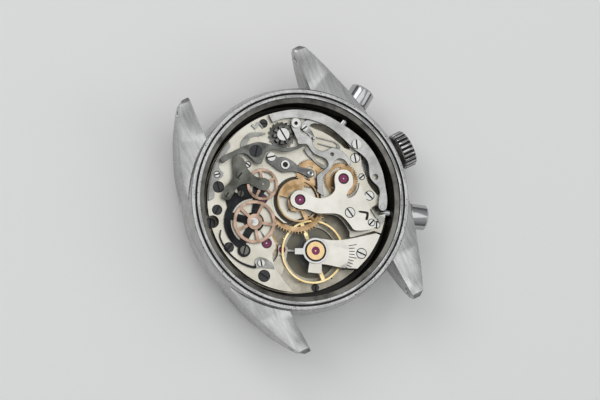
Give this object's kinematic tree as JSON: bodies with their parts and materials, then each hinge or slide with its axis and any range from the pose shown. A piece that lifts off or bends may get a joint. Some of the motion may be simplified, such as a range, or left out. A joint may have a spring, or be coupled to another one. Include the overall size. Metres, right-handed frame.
{
  "type": "chronograph movement",
  "caption": "Hand-wound column-wheel chronograph movement in a round steel wristwatch case with crown, pushers and lugs, back removed.",
  "frame": {"origin": "middle of the crystal's flat outer face, on which the open watch lies", "axes": "+Z from the crystal to the movement side, +X to the crown, +Y to 6 o'clock along the lugs"},
  "size_m": [0.0401, 0.0446, 0.0126],
  "materials": {
    "case_steel": "worn brushed stainless steel",
    "crown_steel": "polished stainless steel",
    "crystal": "clear moulded crystal",
    "gasket": "black nitrile rubber",
    "tube_steel": "turned steel",
    "spring_steel": "hardened spring steel",
    "dial_silver": "silvered satin dial",
    "hand_steel": "polished steel hands",
    "hand_dark": "black lacquered hands",
    "plated_brass": "rhodium-plated brass, frosted and grained",
    "ruby": "polished synthetic ruby",
    "bright_steel": "polished steel",
    "dark_steel": "dark oxidised steel",
    "lever_steel": "grained steel",
    "black_steel": "blackened steel",
    "olive_steel": "aged nickel-plated steel",
    "grey_steel": "dark grained steel",
    "blue_grey_steel": "grained steel",
    "plate_steel": "pale grained steel",
    "rose_gilt": "rose-gilt brass",
    "yellow_gilt": "yellow gilt brass",
    "balance_gold": "gilt beryllium bronze",
    "hairspring": "tempered blue spring alloy"
  },
  "bodies": {
    "root": {"case_middle": "case_steel", "bezel": "case_steel", "crystal": "crystal", "crown_tube": "tube_steel", "pusher_tubes": "tube_steel", "pusher_springs": "spring_steel", "dial": "dial_silver", "main_plate": "plated_brass", "barrel_bridge": "plated_brass", "train_bridge": "plated_brass", "pallet_cock": "plated_brass", "balance_cock": "plated_brass", "chronograph_bridge": "plated_brass", "jewels": "ruby", "bright_screws": "bright_steel", "dark_screws": "dark_steel", "spring_plate": "plate_steel", "balance_spring": "hairspring", "lever_springs": "spring_steel"},
    "crown_slide": {"crown_gasket": "gasket"},
    "crown_turn": {"crown": "crown_steel", "winding_stem": "tube_steel"},
    "winding_pinion": {"winding_pinion": "lever_steel"},
    "crown_wheel": {"crown_wheel": "lever_steel"},
    "ratchet": {"ratchet_wheel": "lever_steel", "barrel_arbor": "tube_steel"},
    "click": {"click": "lever_steel"},
    "setting_lever": {"setting_lever": "lever_steel"},
    "start_pusher": {"start_pusher": "crown_steel"},
    "reset_pusher": {"reset_pusher": "crown_steel"},
    "barrel": {"barrel": "yellow_gilt", "mainspring": "spring_steel"},
    "centre_wheel": {"centre_wheel": "rose_gilt", "minute_hand": "hand_steel"},
    "hour_wheel": {"hour_wheel": "yellow_gilt", "hour_hand": "hand_steel"},
    "minute_wheel": {"minute_wheel": "yellow_gilt"},
    "third_wheel": {"third_wheel": "rose_gilt"},
    "fourth_wheel": {"fourth_wheel": "rose_gilt", "driving_wheel": "rose_gilt", "small_seconds_hand": "hand_dark"},
    "escape_wheel": {"escape_wheel": "yellow_gilt"},
    "pallet_fork": {"pallet_fork": "lever_steel"},
    "balance": {"balance_wheel": "balance_gold"},
    "regulator": {"regulator": "bright_steel"},
    "runner": {"chronograph_runner": "yellow_gilt", "chronograph_hand": "hand_dark"},
    "minute_runner": {"minute_runner": "rose_gilt", "minute_counter_hand": "hand_dark"},
    "hour_recorder": {"hour_recorder": "rose_gilt"},
    "clutch": {"clutch_lever": "black_steel", "clutch_bridge": "olive_steel"},
    "coupling_wheel": {"coupling_wheel": "rose_gilt"},
    "sliding_gear_lever": {"sliding_gear_lever": "blue_grey_steel"},
    "sliding_gear": {"sliding_gear": "rose_gilt"},
    "column_wheel": {"column_wheel": "bright_steel"},
    "operating_lever": {"operating_lever": "lever_steel"},
    "reset_lever": {"reset_lever": "lever_steel"},
    "hammer": {"hammer": "lever_steel"},
    "brake_lever": {"brake_lever": "grey_steel"}
  },
  "joints": [
    {"name": "crown_pull", "type": "slide", "parent": "root", "child": "crown_slide", "axis": [1, 0, 0], "range_m": [0, 0.001]},
    {"name": "crown_turn", "type": "hinge", "parent": "crown_slide", "child": "crown_turn", "pos_m": [0.02, 0, 0.0058], "axis": [1, 0, 0], "continuous": true},
    {"name": "winding_pinion_turn", "type": "hinge", "parent": "root", "child": "winding_pinion", "pos_m": [0.013, 0, 0.0058], "axis": [1, 0, 0], "continuous": true},
    {"name": "crown_wheel_turn", "type": "hinge", "parent": "root", "child": "crown_wheel", "pos_m": [0.0114, 0.0009, 0.0077], "axis": [0, 0, 1], "continuous": true},
    {"name": "ratchet_turn", "type": "hinge", "parent": "root", "child": "ratchet", "pos_m": [0.00413, 0.00428, 0.0077], "axis": [0, 0, 1], "continuous": true},
    {"name": "click_swing", "type": "hinge", "parent": "root", "child": "click", "pos_m": [0.00292, 0.01116, 0.0077], "axis": [0, 0, 1], "range_deg": [-8, 0], "stiffness_Nm_per_rad": 0.00002},
    {"name": "setting_swing", "type": "hinge", "parent": "root", "child": "setting_lever", "pos_m": [0.011, -0.0036, 0.0066], "axis": [0, 0, 1], "range_deg": [-26, 0]},
    {"name": "start_push", "type": "slide", "parent": "root", "child": "start_pusher", "axis": [-0.848, 0.5299, 0], "range_m": [0, 0.00065], "stiffness_N_per_m": 1500},
    {"name": "reset_push", "type": "slide", "parent": "root", "child": "reset_pusher", "axis": [-0.848, -0.5299, 0], "range_m": [0, 0.00065], "stiffness_N_per_m": 1500},
    {"name": "fourth_turn", "type": "hinge", "parent": "root", "child": "fourth_wheel", "pos_m": [-0.008, 0, 0.0073], "axis": [0, 0, 1], "continuous": true},
    {"name": "barrel_turn", "type": "hinge", "parent": "root", "child": "barrel", "pos_m": [0.00413, 0.00428, 0.007], "axis": [0, 0, 1], "continuous": true},
    {"name": "centre_turn", "type": "hinge", "parent": "root", "child": "centre_wheel", "pos_m": [0, 0, 0.008], "axis": [0, 0, 1], "continuous": true},
    {"name": "hour_turn", "type": "hinge", "parent": "root", "child": "hour_wheel", "pos_m": [0, 0, 0.0046], "axis": [0, 0, 1], "continuous": true},
    {"name": "minute_wheel_turn", "type": "hinge", "parent": "root", "child": "minute_wheel", "pos_m": [0.0015, 0.00155, 0.0048], "axis": [0, 0, 1], "continuous": true},
    {"name": "third_turn", "type": "hinge", "parent": "root", "child": "third_wheel", "pos_m": [-0.00507, 0.00273, 0.0068], "axis": [0, 0, 1], "continuous": true},
    {"name": "escape_turn", "type": "hinge", "parent": "root", "child": "escape_wheel", "pos_m": [-0.00759, -0.00393, 0.0067], "axis": [0, 0, 1], "continuous": true},
    {"name": "pallet_swing", "type": "hinge", "parent": "root", "child": "pallet_fork", "pos_m": [-0.00539, -0.00598, 0.0067], "axis": [0, 0, 1], "range_deg": [-6, 6]},
    {"name": "balance_swing", "type": "hinge", "parent": "root", "child": "balance", "pos_m": [-0.0011, -0.00845, 0.0077], "axis": [0, 0, 1], "range_deg": [-270, 270]},
    {"name": "regulator_turn", "type": "hinge", "parent": "root", "child": "regulator", "pos_m": [-0.0011, -0.00845, 0.0098], "axis": [0, 0, 1], "range_deg": [-15, 15]},
    {"name": "runner_turn", "type": "hinge", "parent": "root", "child": "runner", "pos_m": [0, 0, 0.0096], "axis": [0, 0, 1], "continuous": true},
    {"name": "minute_runner_turn", "type": "hinge", "parent": "root", "child": "minute_runner", "pos_m": [0.008, 0, 0.0092], "axis": [0, 0, 1], "continuous": true},
    {"name": "hour_recorder_turn", "type": "hinge", "parent": "root", "child": "hour_recorder", "pos_m": [0, 0.008, 0.0048], "axis": [0, 0, 1], "continuous": true},
    {"name": "clutch_swing", "type": "hinge", "parent": "root", "child": "clutch", "pos_m": [-0.008, 0, 0.0092], "axis": [0, 0, 1], "range_deg": [-1.8, 0], "stiffness_Nm_per_rad": 0.0002},
    {"name": "coupling_turn", "type": "hinge", "parent": "clutch", "child": "coupling_wheel", "pos_m": [-0.00416, 0.00483, 0.0096], "axis": [0, 0, 1], "continuous": true},
    {"name": "sliding_lever_swing", "type": "hinge", "parent": "root", "child": "sliding_gear_lever", "pos_m": [-0.00095, 0.0082, 0.0096], "axis": [0, 0, 1], "range_deg": [0, 1.2], "stiffness_Nm_per_rad": 0.0002},
    {"name": "sliding_gear_turn", "type": "hinge", "parent": "sliding_gear_lever", "child": "sliding_gear", "pos_m": [0.00375, 0.0031, 0.0092], "axis": [0, 0, 1], "continuous": true},
    {"name": "column_turn", "type": "hinge", "parent": "root", "child": "column_wheel", "pos_m": [0.0023, 0.0106, 0.0095], "axis": [0, 0, 1], "continuous": true},
    {"name": "operating_swing", "type": "hinge", "parent": "root", "child": "operating_lever", "pos_m": [0.0127, 0.0041, 0.0096], "axis": [0, 0, 1], "range_deg": [-4.2, 0]},
    {"name": "reset_swing", "type": "hinge", "parent": "root", "child": "reset_lever", "pos_m": [0.0062, 0.0101, 0.0092], "axis": [0, 0, 1], "range_deg": [-7.4, 0]},
    {"name": "hammer_swing", "type": "hinge", "parent": "root", "child": "hammer", "pos_m": [0.00505, 0.01135, 0.0099], "axis": [0, 0, 1], "range_deg": [-5.4, 0]},
    {"name": "brake_swing", "type": "hinge", "parent": "root", "child": "brake_lever", "pos_m": [-0.00295, 0.0101, 0.0103], "axis": [0, 0, 1], "range_deg": [0, 2], "stiffness_Nm_per_rad": 0.0002}
  ],
  "couplings": [
    {"joint": "winding_pinion_turn", "follows": "crown_turn", "ratio": 1},
    {"joint": "crown_wheel_turn", "follows": "crown_turn", "ratio": -0.5},
    {"joint": "ratchet_turn", "follows": "crown_turn", "ratio": 0.27083},
    {"joint": "setting_swing", "follows": "crown_pull", "rad_per_m": -436},
    {"joint": "operating_swing", "follows": "start_push", "rad_per_m": -104.6},
    {"joint": "reset_swing", "follows": "reset_push", "rad_per_m": -189.4},
    {"joint": "hammer_swing", "follows": "reset_push", "rad_per_m": -139.6},
    {"joint": "third_turn", "follows": "fourth_turn", "ratio": -0.13333},
    {"joint": "centre_turn", "follows": "fourth_turn", "ratio": 0.016667},
    {"joint": "barrel_turn", "follows": "fourth_turn", "ratio": -0.002381},
    {"joint": "minute_wheel_turn", "follows": "fourth_turn", "ratio": -0.0055556},
    {"joint": "hour_turn", "follows": "fourth_turn", "ratio": 0.0013889},
    {"joint": "escape_turn", "follows": "fourth_turn", "ratio": -10},
    {"joint": "coupling_turn", "follows": "fourth_turn", "ratio": -1.3333},
    {"joint": "sliding_gear_turn", "follows": "minute_runner_turn", "ratio": -1.2}
  ]
}
